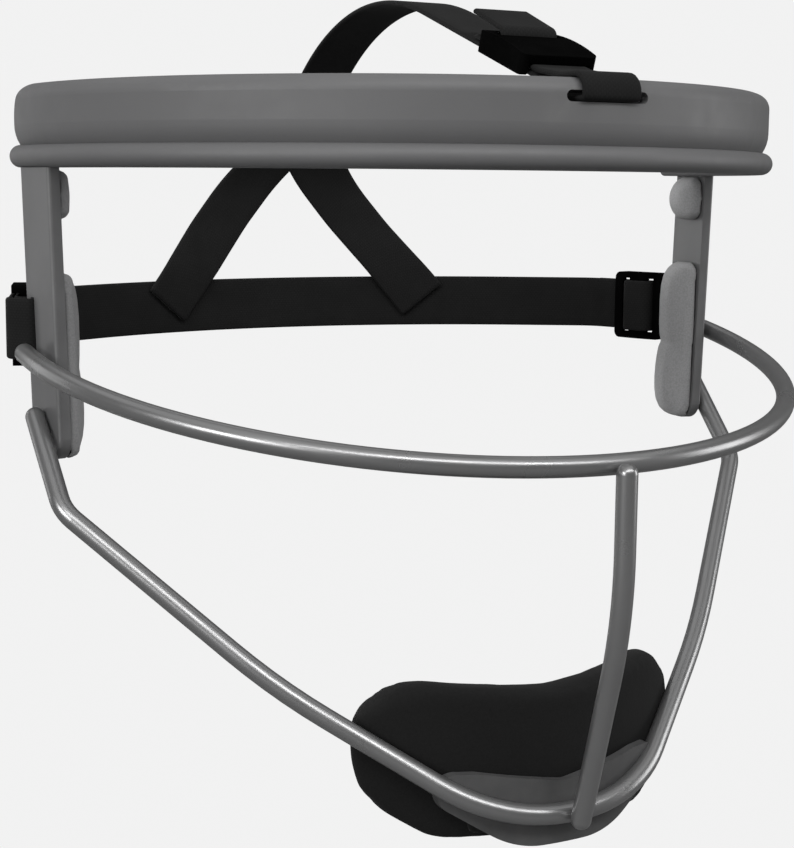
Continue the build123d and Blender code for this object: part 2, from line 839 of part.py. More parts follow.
with BuildPart() as top_strap_tail:
    tail_s = (top_window_near_share + top_window_far_share) * top_buckle_length / 4
    tail_points = [
        (tail_s, tail_foot + webbing_thickness / 2),
        (tail_s, tail_rise),
        (tail_end_s, tail_end),
    ]
    add(webbing_on(top_frame, tail_points, tail_rise_round))
top_strap_tail.part.label = "top_strap_tail"

# Side buckles on the inner side of the rear strap, each with the webbing over its middle bar
buckle_middle = run_front + run_back * (side_buckle_front + side_buckle_length / 2)
side_surface = buckle_middle - run_out * (webbing_thickness / 2)
side_frame = Plane(
    origin=(side_surface.X, side_surface.Y, strap_z), x_dir=run_back, z_dir=-run_out
)
with BuildPart() as right_buckle:
    side_windows = [
        (-side_window_far_share, -side_window_near_share),
        (side_window_near_share, side_window_far_share),
    ]
    add(
        slide_buckle(
            side_frame, side_buckle_length, side_buckle_arch, side_rail_depth, side_windows
        )
    )
right_buckle.part.label = "right_buckle"

with BuildPart() as right_bar_turn:
    turn_s = (side_window_near_share + side_window_far_share) * side_buckle_length / 4
    turn_points = [
        (-turn_s, bar_turn_foot),
        (-turn_s, bar_turn_height),
        (turn_s, bar_turn_height),
        (turn_s, bar_turn_foot),
    ]
    add(webbing_on(side_frame, turn_points, bar_turn_round))
right_bar_turn.part.label = "right_bar_turn"

with BuildPart() as left_buckle:
    mirror(right_buckle.part, about=Plane.YZ)
left_buckle.part.label = "left_buckle"

with BuildPart() as left_bar_turn:
    mirror(right_bar_turn.part, about=Plane.YZ)
left_bar_turn.part.label = "left_bar_turn"

export_step(right_arm.part, "parts/right_arm.step")
export_step(left_arm.part, "parts/left_arm.step")
export_step(brow_rod.part, "parts/brow_rod.step")
export_step(headband_shell.part, "parts/headband_shell.step")
export_step(headband_liner.part, "parts/headband_liner.step")
export_step(right_temple_pad.part, "parts/right_temple_pad.step")
export_step(right_cheek_pad.part, "parts/right_cheek_pad.step")
export_step(right_hook_strips.part, "parts/right_hook_strips.step")
export_step(left_temple_pad.part, "parts/left_temple_pad.step")
export_step(left_cheek_pad.part, "parts/left_cheek_pad.step")
export_step(left_hook_strips.part, "parts/left_hook_strips.step")
export_step(upper_bar.part, "parts/upper_bar.step")
export_step(lower_bar.part, "parts/lower_bar.step")
export_step(centre_bar.part, "parts/centre_bar.step")
export_step(chin_plate.part, "parts/chin_plate.step")
export_step(chin_hook_patch.part, "parts/chin_hook_patch.step")
export_step(chin_pad.part, "parts/chin_pad.step")
export_step(rear_strap.part, "parts/rear_strap.step")
export_step(right_strap_leg.part, "parts/right_strap_leg.step")
export_step(left_strap_leg.part, "parts/left_strap_leg.step")
export_step(top_strap.part, "parts/top_strap.step")
export_step(top_buckle.part, "parts/top_buckle.step")
export_step(top_strap_tail.part, "parts/top_strap_tail.step")
export_step(right_buckle.part, "parts/right_buckle.step")
export_step(right_bar_turn.part, "parts/right_bar_turn.step")
export_step(left_buckle.part, "parts/left_buckle.step")
export_step(left_bar_turn.part, "parts/left_bar_turn.step")
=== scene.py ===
import math

import bpy
from mathutils import Matrix, Vector


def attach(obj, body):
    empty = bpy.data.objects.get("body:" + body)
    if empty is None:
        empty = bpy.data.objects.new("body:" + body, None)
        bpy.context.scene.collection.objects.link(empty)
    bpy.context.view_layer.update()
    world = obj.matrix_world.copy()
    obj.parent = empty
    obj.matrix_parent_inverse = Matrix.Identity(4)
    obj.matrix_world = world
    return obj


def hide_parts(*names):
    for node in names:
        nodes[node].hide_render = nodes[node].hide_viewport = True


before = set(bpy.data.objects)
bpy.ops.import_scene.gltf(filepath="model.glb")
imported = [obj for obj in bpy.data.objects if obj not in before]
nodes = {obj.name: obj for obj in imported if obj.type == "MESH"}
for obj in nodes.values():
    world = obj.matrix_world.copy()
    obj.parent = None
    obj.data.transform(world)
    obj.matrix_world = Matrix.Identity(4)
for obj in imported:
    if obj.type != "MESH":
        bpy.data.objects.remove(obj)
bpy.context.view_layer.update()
MM = 0.001

# Camera: the place, turn and lens solved from the photograph's outlines. It stands to the
# left of the guard's front, level with the band's bead, and looks slightly down.
camera_place = Vector((-215.6, -397.0, -5.9)) * MM
camera_turn = math.radians(28.0)
camera_drop = math.radians(7.91)
camera_roll = math.radians(0.54)
focal_in_pixels = 1724.44
picture_height = 848
sensor_width = 36.0
ahead = Vector(
    (
        math.sin(camera_turn) * math.cos(camera_drop),
        math.cos(camera_turn) * math.cos(camera_drop),
        -math.sin(camera_drop),
    )
)
level_right = Vector((math.cos(camera_turn), -math.sin(camera_turn), 0))
level_up = level_right.cross(ahead)
camera_right = level_right * math.cos(camera_roll) + level_up * math.sin(camera_roll)
camera_up = level_up * math.cos(camera_roll) - level_right * math.sin(camera_roll)
camera_data = bpy.data.cameras.new("camera")
camera_data.sensor_width = sensor_width
camera_data.lens = focal_in_pixels / picture_height * sensor_width


def put_in_scene(name, data):
    """A new object with this data, in the scene."""
    thing = bpy.data.objects.new(name, data)
    bpy.context.scene.collection.objects.link(thing)
    return thing


camera = put_in_scene("camera", camera_data)
camera.matrix_world = Matrix(
    (
        (camera_right.x, camera_up.x, -ahead.x, camera_place.x),
        (camera_right.y, camera_up.y, -ahead.y, camera_place.y),
        (camera_right.z, camera_up.z, -ahead.z, camera_place.z),
        (0, 0, 0, 1),
    )
)
bpy.context.scene.camera = camera


# Brow band: one piece of grey plastic, injection moulded round the arms' tangs and the rod in
# its bead. Its skin has a fine satin grain, a little mottling, and rubbed edges.
def new_group(name, takes, gives):
    """A shader group with named number, colour or vector sockets, and its inner ends."""
    group = bpy.data.node_groups.new(name, "ShaderNodeTree")
    for label, kind, value in takes:
        socket = group.interface.new_socket(label, in_out="INPUT", socket_type="NodeSocket" + kind)
        if value is not None:
            socket.default_value = value
    for label, kind in gives:
        group.interface.new_socket(label, in_out="OUTPUT", socket_type="NodeSocket" + kind)
    start = group.nodes.new("NodeGroupInput")
    end = group.nodes.new("NodeGroupOutput")
    return group, start, end


def add_node(tree, kind, **settings):
    """A node of this kind with its settings."""
    node = tree.nodes.new(kind)
    for key, value in settings.items():
        setattr(node, key, value)
    return node


def noise(tree, place, scale, detail):
    """Noise of this scale at a place, as a node."""
    node = add_node(tree, "ShaderNodeTexNoise")
    node.inputs["Scale"].default_value = scale
    node.inputs["Detail"].default_value = detail
    tree.links.new(place, node.inputs["Vector"])
    return node


def math_node(tree, operation, first, second=None, clamp=False):
    """A math node fed by sockets or plain numbers, and its result."""
    node = add_node(tree, "ShaderNodeMath", operation=operation, use_clamp=clamp)
    for index, value in enumerate((first, second)):
        if value is None:
            continue
        if isinstance(value, (int, float)):
            node.inputs[index].default_value = value
        else:
            tree.links.new(value, node.inputs[index])
    return node.outputs[0]


def line_node(tree, value, gain, offset):
    """A value times a gain plus an offset, and the result."""
    return math_node(tree, "ADD", math_node(tree, "MULTIPLY", value, gain), offset)


def tint(tree, colour, gain):
    """A colour socket scaled by a gain, and the result."""
    node = add_node(tree, "ShaderNodeVectorMath", operation="SCALE")
    tree.links.new(colour, node.inputs[0])
    tree.links.new(gain, node.inputs["Scale"])
    return node.outputs["Vector"]


def mix_colour(tree, share, first, second):
    """Two colours mixed by a share, and the result."""
    node = add_node(tree, "ShaderNodeMix", data_type="RGBA")
    tree.links.new(share, node.inputs[0])
    for index, value in ((6, first), (7, second)):
        if isinstance(value, (tuple, list)):
            node.inputs[index].default_value = (*value, 1)
        else:
            tree.links.new(value, node.inputs[index])
    return node.outputs[2]


# Moulded or coated skin, used by the band, the arms, the plate and the buckles: fine grain,
# slow mottling and a wear mask on proud edges
skin_group, skin_in, skin_out = new_group(
    "satin_skin",
    [
        ("Colour", "Color", (0.13, 0.13, 0.13, 1)),
        ("Worn Colour", "Color", (0.2, 0.2, 0.2, 1)),
        ("Grain Scale", "Float", 2200.0),
        ("Mottle", "Float", 0.08),
        ("Roughness", "Float", 0.5),
    ],
    [("Colour", "Color"), ("Roughness", "Float"), ("Height", "Float")],
)
noise_middle = 0.5
worn_pointiness = 0.53
wear_gain = 9.0
smudge_swing = 0.22
skin_place = add_node(skin_group, "ShaderNodeTexCoord").outputs["Object"]
skin_grain = noise(skin_group, skin_place, scale=1.0, detail=2.0)
skin_group.links.new(skin_in.outputs["Grain Scale"], skin_grain.inputs["Scale"])
skin_cloud = noise(skin_group, skin_place, scale=45.0, detail=4.0)
skin_smudge = noise(skin_group, skin_place, scale=160.0, detail=3.0)
mottle_centred = math_node(skin_group, "SUBTRACT", skin_cloud.outputs["Fac"], noise_middle)
mottle_share = math_node(skin_group, "MULTIPLY", mottle_centred, skin_in.outputs["Mottle"])
mottle_gain = line_node(skin_group, mottle_share, gain=2.0, offset=1.0)
skin_tint = tint(skin_group, skin_in.outputs["Colour"], mottle_gain)
geometry = add_node(skin_group, "ShaderNodeNewGeometry")
proud = math_node(skin_group, "SUBTRACT", geometry.outputs["Pointiness"], worn_pointiness)
proud_share = math_node(skin_group, "MULTIPLY", proud, wear_gain, clamp=True)
rubbed = math_node(skin_group, "MULTIPLY", proud_share, skin_smudge.outputs["Fac"], clamp=True)
worn = mix_colour(skin_group, rubbed, skin_tint, skin_in.outputs["Worn Colour"])
skin_group.links.new(worn, skin_out.inputs["Colour"])
smudge_centred = math_node(skin_group, "SUBTRACT", skin_smudge.outputs["Fac"], noise_middle)
smudge_share = math_node(skin_group, "MULTIPLY", smudge_centred, smudge_swing)
skin_rough = math_node(
    skin_group, "ADD", skin_in.outputs["Roughness"], smudge_share, clamp=True
)
skin_group.links.new(skin_rough, skin_out.inputs["Roughness"])
skin_group.links.new(skin_grain.outputs["Fac"], skin_out.inputs["Height"])


def shader(name):
    """A new material and its shader node."""
    material = bpy.data.materials.new(name)
    material.use_nodes = True
    return material, material.node_tree.nodes["Principled BSDF"]


def put_group(material, group, **values):
    """A group in a material, with its inputs set by name."""
    node = add_node(material.node_tree, "ShaderNodeGroup", node_tree=group)
    for label, value in values.items():
        node.inputs[label.replace("_", " ")].default_value = value
    return node


def put_bump(material, surface, height, strength, distance):
    """A bump in millimetres from a height socket to a shader's normal."""
    bump = add_node(material.node_tree, "ShaderNodeBump")
    bump.inputs["Strength"].default_value = strength
    bump.inputs["Distance"].default_value = distance * MM
    material.node_tree.links.new(height, bump.inputs["Height"])
    material.node_tree.links.new(bump.outputs["Normal"], surface.inputs["Normal"])


def satin_material(name, colour, worn_colour, grain_scale, mottle, roughness, grain_depth):
    """A moulded or coated finish built on the satin skin."""
    material, surface = shader(name)
    skin = put_group(
        material,
        skin_group,
        Colour=(*colour, 1),
        Worn_Colour=(*worn_colour, 1),
        Grain_Scale=grain_scale,
        Mottle=mottle,
        Roughness=roughness,
    )
    links = material.node_tree.links
    links.new(skin.outputs["Colour"], surface.inputs["Base Color"])
    links.new(skin.outputs["Roughness"], surface.inputs["Roughness"])
    put_bump(material, surface, skin.outputs["Height"], strength=0.35, distance=grain_depth)
    return material


def dress(node_name, material):
    """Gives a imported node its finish."""
    for material_slot in nodes[node_name].material_slots:
        material_slot.material = material


band_plastic = satin_material(
    "band_plastic",
    colour=(0.125, 0.125, 0.127),
    worn_colour=(0.15, 0.15, 0.15),
    grain_scale=1900.0,
    mottle=0.06,
    roughness=0.56,
    grain_depth=0.03,
)
dress("headband_shell", band_plastic)

# Steel rod in the bead: plain bright wire, hidden inside the plastic. The cage's three bars
# are thicker wire with a dark satin finish, brazed to the arms and to each other.
stain_tone = 0.72
stain_share = 0.5
roughness_swing = 0.16


def steel_material(name, colour, roughness):
    """Satin steel with small cloudy stains, and a roughness that wanders round its middle."""
    material, surface = shader(name)
    tree = material.node_tree
    place = add_node(tree, "ShaderNodeTexCoord").outputs["Object"]
    cloud = noise(tree, place, scale=90.0, detail=1.0)
    stain = math_node(tree, "MULTIPLY", cloud.outputs["Fac"], stain_share)
    stained = mix_colour(tree, stain, colour, tuple(part * stain_tone for part in colour))
    tree.links.new(stained, surface.inputs["Base Color"])
    surface.inputs["Metallic"].default_value = 0.75
    wander = math_node(tree, "MULTIPLY", cloud.outputs["Fac"], roughness_swing)
    rough = math_node(tree, "ADD", wander, roughness - roughness_swing / 2, clamp=True)
    tree.links.new(rough, surface.inputs["Roughness"])
    return material


cage_steel = steel_material("cage_steel", colour=(0.31, 0.31, 0.312), roughness=0.3)
rod_steel = steel_material("rod_steel", colour=(0.5, 0.5, 0.51), roughness=0.3)
dress("brow_rod", rod_steel)
for bar in ("upper_bar", "lower_bar", "centre_bar"):
    dress(bar, cage_steel)

# Side arms: pressed steel straps with rounded feet, coated in the same satin grey as the
# band. The chin plate is pressed and coated in the same way and brazed behind the lower bar.
arm_coat = satin_material(
    "arm_coat",
    colour=(0.118, 0.118, 0.12),
    worn_colour=(0.2, 0.2, 0.2),
    grain_scale=2600.0,
    mottle=0.08,
    roughness=0.4,
    grain_depth=0.02,
)
plate_coat = satin_material(
    "plate_coat",
    colour=(0.05, 0.05, 0.051),
    worn_colour=(0.1, 0.1, 0.1),
    grain_scale=2600.0,
    mottle=0.1,
    roughness=0.42,
    grain_depth=0.02,
)
for arm in ("left_arm", "right_arm"):
    dress(arm, arm_coat)
dress("chin_plate", plate_coat)


# Foam with a heat-formed skin: the brow liner, the temple and cheek pads and the chin pad.
# Each is remeshed, swelled a little with cloth pressure, and smoothed, so that its crown is
# soft but it stays in its own space. The liner and the chin pad start from their solids.
swell_frames = 20
swell_pressure = 4.0
relax_pull = 0.5
relax_push = 0.52


def soft_copy(name, node_name, voxel, swell_cap, smooth_rounds, shape=None):
    """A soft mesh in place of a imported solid. Sizes are in millimetres."""
    source = nodes[node_name]
    piece = put_in_scene(name, source.data.copy())
    piece.data.materials.clear()
    piece.matrix_world = source.matrix_world
    soften(piece, voxel, swell_cap, smooth_rounds, shape)
    return piece


def soften(piece, voxel, swell_cap, smooth_rounds, shape=None):
    """Remeshes a piece, shapes it by a function of a place in the guard, swells it with cloth
    pressure by no more than a cap, and smooths it. Sizes are in millimetres."""
    remesh = piece.modifiers.new("remesh", "REMESH")
    remesh.mode = "VOXEL"
    remesh.voxel_size = voxel * MM
    take_modifiers(piece)
    if shape:
        to_guard = piece.matrix_world.copy()
        to_piece = to_guard.inverted()
        for vertex in piece.data.vertices:
            vertex.co = to_piece @ (shape(to_guard @ vertex.co / MM) * MM)
    at_rest = [v.co.copy() for v in piece.data.vertices]
    cloth = piece.modifiers.new("swell", "CLOTH")
    cloth.settings.quality = 6
    cloth.settings.mass = 0.02
    cloth.settings.tension_stiffness = 8
    cloth.settings.compression_stiffness = 8
    cloth.settings.bending_stiffness = 0.4
    cloth.settings.use_pressure = True
    cloth.settings.uniform_pressure_force = swell_pressure
    cloth.settings.effector_weights.gravity = 0
    cloth.point_cache.frame_start = 1
    cloth.point_cache.frame_end = swell_frames
    for step in range(1, swell_frames + 1):
        bpy.context.scene.frame_set(step)
    swelled = evaluated_mesh(piece)
    moved = [v.co.copy() for v in swelled.vertices]
    bpy.data.meshes.remove(swelled)
    piece.modifiers.remove(cloth)
    bpy.context.scene.frame_set(1)
    for vertex, start, end in zip(piece.data.vertices, at_rest, moved):
        step_out = end - start
        if step_out.length > swell_cap * MM:
            step_out = step_out.normalized() * swell_cap * MM
        vertex.co = start + step_out
    relax(piece.data, smooth_rounds)


def evaluated_mesh(piece):
    """The mesh of a piece with its modifiers taken in."""
    bpy.context.view_layer.update()
    graph = bpy.context.evaluated_depsgraph_get()
    return bpy.data.meshes.new_from_object(piece.evaluated_get(graph))


def take_modifiers(piece):
    """Takes a piece's modifiers into its mesh."""
    mesh = evaluated_mesh(piece)
    piece.modifiers.clear()
    piece.data = mesh


def relax(mesh, rounds):
    """Moves each vertex towards the middle of its neighbours and back, to smooth steps."""
    count = len(mesh.vertices)
    near = [[] for _ in range(count)]
    for edge in mesh.edges:
        a, b = edge.vertices
        near[a].append(b)
        near[b].append(a)
    places = [v.co.copy() for v in mesh.vertices]
    for _ in range(rounds):
        for pull in (relax_pull, -relax_push):
            middles = [
                sum((places[j] for j in near[i]), Vector()) / max(1, len(near[i]))
                for i in range(count)
            ]
            places = [p + (m - p) * pull for p, m in zip(places, middles)]
    for vertex, place in zip(mesh.vertices, places):
        vertex.co = place


def shade_smooth(piece):
    """Smooth shading on every face."""
    piece.data.polygons.foreach_set("use_smooth", [True] * len(piece.data.polygons))
    piece.data.update()


def finish_piece(piece, material, slot_name, body, *replaced):
    """The last steps of a made piece: finish, smooth shading, body and its node. Its slot name is
    not used.
    """
    piece.data.materials.clear()
    piece.data.materials.append(material)
    shade_smooth(piece)
    if replaced:
        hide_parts(*replaced)
    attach(piece, body)


# Foam skin: a close-knit or pressed surface with small pits and slow shades
foam_group, foam_in, foam_out = new_group(
    "foam_skin",
    [("Colour", "Color", (0.1, 0.1, 0.1, 1)), ("Knit Scale", "Float", 1500.0)],
    [("Colour", "Color"), ("Height", "Float")],
)
foam_place = add_node(foam_group, "ShaderNodeTexCoord").outputs["Object"]
foam_pits = add_node(foam_group, "ShaderNodeTexVoronoi")
foam_group.links.new(foam_place, foam_pits.inputs["Vector"])
foam_group.links.new(foam_in.outputs["Knit Scale"], foam_pits.inputs["Scale"])
foam_cloud = noise(foam_group, foam_place, scale=70.0, detail=3.0)
foam_gain = line_node(foam_group, foam_cloud.outputs["Fac"], gain=0.2, offset=0.9)
pit_shade = line_node(foam_group, foam_pits.outputs["Distance"], gain=-0.25, offset=1.08)
foam_tone = math_node(foam_group, "MULTIPLY", foam_gain, pit_shade)
foam_tint = tint(foam_group, foam_in.outputs["Colour"], foam_tone)
foam_group.links.new(foam_tint, foam_out.inputs["Colour"])
foam_group.links.new(foam_pits.outputs["Distance"], foam_out.inputs["Height"])


def foam_material(name, colour, knit_scale, roughness, sheen, pit_depth=0.06):
    """Foam with a fabric or skin face."""
    material, surface = shader(name)
    skin = put_group(material, foam_group, Colour=(*colour, 1), Knit_Scale=knit_scale)
    material.node_tree.links.new(skin.outputs["Colour"], surface.inputs["Base Color"])
    surface.inputs["Roughness"].default_value = roughness
    surface.inputs["Sheen Weight"].default_value = sheen
    surface.inputs["Sheen Roughness"].default_value = 0.6
    surface.inputs["Specular IOR Level"].default_value = 0.15
    put_bump(material, surface, skin.outputs["Height"], strength=0.4, distance=pit_depth)
    return material


liner_foam = foam_material(
    "liner_foam", colour=(0.08, 0.08, 0.082), knit_scale=1300.0, roughness=0.85, sheen=0.1
)
brow_liner = soft_copy(
    "brow_liner", "headband_liner", voxel=1.3, swell_cap=0.4, smooth_rounds=4
)
finish_piece(brow_liner, liner_foam, "liner_foam", "guard", "headband_liner")

# Temple and cheek pads: grey moulded foam on hook-and-loop strips along each arm's inner
# face, a single lump under the band and a long pad with two lobes over the strap's slot.
# Their rims roll down to the arm round the strips, and rise to let the webbing through.
pad_foam = foam_material(
    "pad_foam",
    colour=(0.3, 0.3, 0.303),
    knit_scale=2100.0,
    roughness=0.6,
    sheen=0.05,
    pit_depth=0.02,
)
arm_front = Vector((97.5, 0, 0))
arm_yaw = math.radians(7.5)
arm_lean = math.radians(1.7)
arm_thickness = 3.0
arm_along = Vector((math.sin(arm_yaw), math.cos(arm_yaw), 0))
arm_outward = Vector(
    (
        math.cos(arm_lean) * math.cos(arm_yaw),
        -math.cos(arm_lean) * math.sin(arm_yaw),
        -math.sin(arm_lean),
    )
)
arm_up = arm_outward.cross(arm_along)
pad_rim = 0.22
pad_over_tape = 2.2
pad_shoulder = 3.2
tape_front = 2.0
tape_back = 10.9
tape_end_inset = 1.4
strap_middle = -41.5
strap_half_room = 8.6
shoulder_share = 0.1
crest_share = 0.45
shoulder_least = 0.2
shoulder_most = 0.92
cheek_waist = -50.8
waist_fold_depth = 0.5
waist_fold_height = 0.9
waist_fold_reach = 0.4
pad_least = 0.1
across_steps = 14
# Height on the arm, thickness over the arm's face, and the front and back rims' places
cheek_rows = (
    (-72.5, 1.2, 3.4, 11.6), (-71.9, 2.8, 2.2, 13.0), (-70.5, 4.6, 1.2, 14.3),
    (-68.0, 5.9, 0.8, 15.1), (-65.0, 6.5, 0.6, 15.4), (-61.5, 6.7, 0.6, 15.5),
    (-58.0, 6.6, 0.6, 15.5), (-55.0, 6.3, 0.6, 15.5), (-52.6, 5.9, 0.6, 15.4),
    (-50.8, 5.5, 0.6, 15.2), (-49.0, 5.8, 0.6, 15.3), (-45.0, 6.1, 0.6, 15.4),
    (-38.5, 6.3, 0.7, 15.4), (-34.5, 6.1, 0.8, 15.3), (-31.5, 5.5, 0.9, 15.0),
    (-29.5, 4.4, 1.2, 14.2), (-28.2, 2.8, 2.2, 13.2), (-27.6, 1.2, 3.4, 12.0),
)
temple_rows = (
    (-15.2, 1.2, 3.4, 11.8), (-14.6, 2.6, 2.0, 13.0), (-13.2, 3.9, 1.0, 14.2),
    (-11.2, 4.8, 0.7, 15.0), (-9.2, 5.0, 0.6, 15.3), (-7.2, 4.8, 0.7, 15.0),
    (-5.2, 3.9, 1.0, 14.2), (-3.8, 2.6, 2.0, 13.0), (-3.2, 1.2, 3.4, 11.8),
)


def read_rows(rows, at):
    """The values of a table at this place, between the rows on either side of it."""
    for low, high in zip(rows, rows[1:]):
        if at <= high[0]:
            break
    share = min(1.0, max(0.0, (at - low[0]) / (high[0] - low[0])))
    return [a + (b - a) * share for a, b in zip(low[1:], high[1:])]


def rim_depth(rows, along, height):
    """How far a pad's underside is off the arm: little, but more over tape and webbing."""
    bottom, top = rows[0][0], rows[-1][0]
    over_tape = tape_front < along < tape_back
    over_tape = over_tape and bottom + tape_end_inset < height < top - tape_end_inset
    over_strap = along > tape_back and abs(height - strap_middle) < strap_half_room
    return pad_over_tape if over_tape or over_strap else pad_rim


def crown_share(across, shoulder):
    """A pad's rise at this share of its width: steep up to the shoulder, slower to the crest,
    then round down to the back."""
    if across < shoulder_share:
        return shoulder * math.sqrt(max(0.0, 1 - (1 - across / shoulder_share) ** 2))
    if across < crest_share:
        rise = (across - shoulder_share) / (crest_share - shoulder_share)
        return shoulder + (1 - shoulder) * math.sin(math.pi / 2 * rise)
    return math.sqrt(max(0.0, 1 - ((across - crest_share) / (1 - crest_share)) ** 3))


def pad_form(name, side, rows, row_steps):
    """A closed pad on the inner face of one arm, from a table of its rows."""
    bottom, top = rows[0][0], rows[-1][0]
    places = []
    for row in range(row_steps + 1):
        turn = math.pi * (row / row_steps - 0.5)
        height = (bottom + top) / 2 + (top - bottom) / 2 * math.sin(turn)
        thickness, front, back = read_rows(rows, height)
        fold = math.exp(-(((height - cheek_waist) / waist_fold_height) ** 2)) * waist_fold_depth
        ring = []
        for step in range(across_steps + 1):
            sweep = math.sin(math.pi * (step / across_steps - 0.5))
            along = (front + back) / 2 + (back - front) / 2 * sweep
            crest = thickness - fold * min(1.0, max(0.0, sweep + waist_fold_reach))
            shoulder = (pad_shoulder - pad_rim) / (crest - pad_rim)
            shoulder = min(shoulder_most, max(shoulder_least, shoulder))
            across = (sweep + 1) / 2
            rim = rim_depth(rows, along, height) if across >= 1 else pad_rim
            ring.append((along, rim + (crest - rim) * crown_share(across, shoulder)))
        for step in range(across_steps - 1, 0, -1):
            along = ring[step][0]
            under = min(rim_depth(rows, along, height), ring[step][1] - pad_least)
            ring.append((along, under))
        for along, depth in ring:
            at = arm_front + arm_along * along + arm_up * height
            at -= arm_outward * (arm_thickness + depth)
            places.append(Vector((at.x * side, at.y, at.z)) * MM)
    count = 2 * across_steps
    faces = []
    for row in range(row_steps):
        for step in range(count):
            on = (step + 1) % count
            a, b = row * count + step, row * count + on
            faces.append((a, b, b + count, a + count))
    faces.append(tuple(reversed(range(count))))
    faces.append(tuple(range(row_steps * count, (row_steps + 1) * count)))
    if side < 0:
        faces = [tuple(reversed(face)) for face in faces]
    mesh = bpy.data.meshes.new(name)
    mesh.from_pydata(places, [], faces)
    return put_in_scene(name, mesh)


for side, side_name in ((-1, "left"), (1, "right")):
    for place, rows, row_steps, fill in (
        ("temple", temple_rows, 24, 0.9), ("cheek", cheek_rows, 70, 0.85),
    ):
        pad = pad_form(f"{side_name}_{place}_foam", side, rows, row_steps)
        soften(pad, voxel=0.55, swell_cap=0.2, smooth_rounds=3)
        finish_piece(pad, pad_foam, "pad_foam", "guard", f"{side_name}_{place}_pad")

# Hook-and-loop: black woven tape with a field of tiny hooks, stuck on the arms behind the
# pads and on the chin plate behind the chin pad
hook_fabric = foam_material(
    "hook_fabric", colour=(0.009, 0.009, 0.009), knit_scale=900.0, roughness=0.95, sheen=0.05
)
for node_name in ("left_hook_strips", "right_hook_strips", "chin_hook_patch"):
    tape_name = node_name.replace("hook", "hook_tape")
    tape = soft_copy(tape_name, node_name, voxel=0.5, swell_cap=0.0, smooth_rounds=1)
    finish_piece(tape, hook_fabric, "hook_fabric", "guard", node_name)

# Chin pad: a thick black foam cup in brushed knit, held on the plate by hook-and-loop, with
# a lobe at each side of the chin and rolled edges
chin_foam = foam_material(
    "chin_foam", colour=(0.0095, 0.0095, 0.0095), knit_scale=1700.0, roughness=0.85, sheen=0.02
)
chin_axis_y = -10.65
# Height on the pad, and how much of its turn round the chin is left there
chin_turn_shares = (
    (-156.5, 1.0), (-150.4, 0.985), (-147.6, 0.935), (-143.2, 0.95), (-138.0, 0.978),
    (-133.0, 0.985), (-128.3, 0.978), (-123.7, 0.94), (-120.5, 0.97), (-117.0, 1.0),
)


def round_corners(at):
    """Draws the pad's corners in round the chin, as the edge's binding does."""
    (share,) = read_rows(chin_turn_shares, at.z)
    turn = math.atan2(at.x, chin_axis_y - at.y)
    radius = math.hypot(at.x, chin_axis_y - at.y)
    turn *= share
    return Vector((radius * math.sin(turn), chin_axis_y - radius * math.cos(turn), at.z))


chin_cup = soft_copy(
    "chin_cup", "chin_pad", voxel=1.5, swell_cap=0.5, smooth_rounds=5, shape=round_corners
)
smoother = chin_cup.modifiers.new("round", "SUBSURF")
smoother.levels = 1
smoother.render_levels = 1
take_modifiers(chin_cup)
finish_piece(chin_cup, chin_foam, "chin_foam", "guard", "chin_pad")


# Webbing: flat black woven strap, 15 mm wide and 1.3 mm thick, with rounded selvedges.
# One rear strap goes round the head and through both arms, two legs are sewn inside it, and
# the top strap runs from the legs over the crown to the band's slot.
webbing_width = 15.0
webbing_thickness = 1.3
selvedge_share = 0.9
weld_reach = 0.001
fewest_arc_steps = 6
across_shares = (-1.0, -0.985, -0.95, -0.9, -0.6, -0.3, 0.0, 0.3, 0.6, 0.9, 0.95, 0.985, 1.0)


def half_thickness(share):
    """Half the webbing's thickness at this share of its half width."""
    over = max(0.0, (abs(share) - selvedge_share) / (1 - selvedge_share))
    return webbing_thickness / 2 * math.sqrt(max(0.0, 1 - over * over))


def webbing_mesh(name, rows):
    """A closed strap from rows of (place, outward direction) across its width, in
    millimetres, with its length and width as its texture coordinates."""
    count = len(rows[0])
    places = []
    for row in rows:
        for face in (1, -1):
            for (point, out), share in zip(row, across_shares):
                places.append((point + out * (half_thickness(share) * face)) * MM)
    along = [0.0]
    middle = count // 2
    for before, after in zip(rows, rows[1:]):
        along.append(along[-1] + (after[middle][0] - before[middle][0]).length)
    faces = []
    coordinates = []

    def at(row, face, column):
        return row * 2 * count + face * count + column

    def spot(row, column):
        return (along[row], across_shares[column] * webbing_width / 2)

    for row in range(len(rows) - 1):
        for column in range(count - 1):
            ring = ((row, column), (row, column + 1), (row + 1, column + 1), (row + 1, column))
            faces.append([at(r, 0, c) for r, c in ring])
            coordinates.append([spot(r, c) for r, c in ring])
            ring = tuple(reversed(ring))
            faces.append([at(r, 1, c) for r, c in ring])
            coordinates.append([spot(r, c) for r, c in ring])
    for row, forward in ((0, True), (len(rows) - 1, False)):
        for column in range(count - 1):
            ring = ((0, column), (1, column), (1, column + 1), (0, column + 1))
            if not forward:
                ring = tuple(reversed(ring))
            faces.append([at(row, f, c) for f, c in ring])
            coordinates.append([spot(row, c) for _, c in ring])
    mesh = bpy.data.meshes.new(name)
    mesh.from_pydata(places, [], faces)
    layer = mesh.uv_layers.new(name="weave")
    flat = [value for face in coordinates for pair in face for value in pair]
    layer.data.foreach_set("uv", flat)
    piece = put_in_scene(name, mesh)
    weld = piece.modifiers.new("weld", "WELD")
    weld.merge_threshold = weld_reach * MM
    take_modifiers(piece)
    return piece


